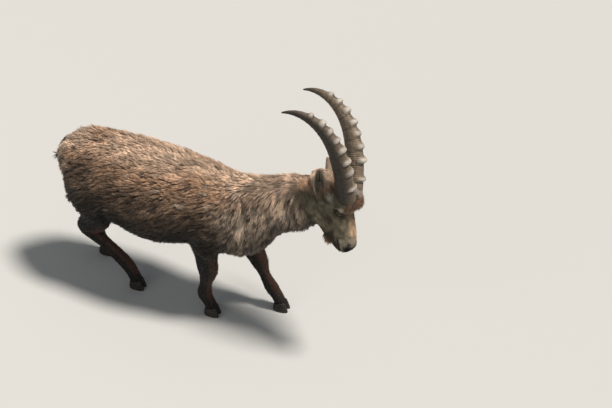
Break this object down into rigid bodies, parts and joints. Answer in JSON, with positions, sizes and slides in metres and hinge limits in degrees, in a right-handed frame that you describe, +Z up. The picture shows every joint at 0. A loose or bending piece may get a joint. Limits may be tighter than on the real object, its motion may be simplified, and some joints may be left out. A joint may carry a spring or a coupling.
{
  "type": "alpine ibex animal model",
  "caption": "Still, life-size model of a young male alpine ibex walking with its head lowered and its ridged horns swept back.",
  "frame": {"origin": "on the floor under the middle of the model's bounding box", "axes": "+X is forward, from the tail to the head; +Y is the animal's left; +Z is up from the soles"},
  "size_m": [1.3687, 0.3823, 1.1603],
  "materials": {
    "coat": "shaggy moulting fur, tan over grey brown",
    "coat_neck": "long hanging fur, grey beige",
    "face": "short fur with a rusty forelock",
    "leg": "short dark fur",
    "tail_hair": "dark hair",
    "ear": "short fur, pale inside",
    "horn": "ridged grey-brown horn",
    "eye": "wet amber",
    "hoof": "dull dark horn"
  },
  "bodies": {
    "root": {"torso": "coat", "neck": "coat_neck", "head": "face", "tail": "tail_hair", "foreleg_left": "leg", "foreleg_right": "leg", "hindleg_left": "leg", "hindleg_right": "leg", "ear_left": "ear", "ear_right": "ear", "eye_left": "eye", "eye_right": "eye", "horn_left": "horn", "horn_right": "horn", "hoof_foreleg_left_left": "hoof", "hoof_foreleg_left_right": "hoof", "hoof_foreleg_right_left": "hoof", "hoof_foreleg_right_right": "hoof", "hoof_hindleg_left_left": "hoof", "hoof_hindleg_left_right": "hoof", "hoof_hindleg_right_left": "hoof", "hoof_hindleg_right_right": "hoof"}
  },
  "joints": []
}
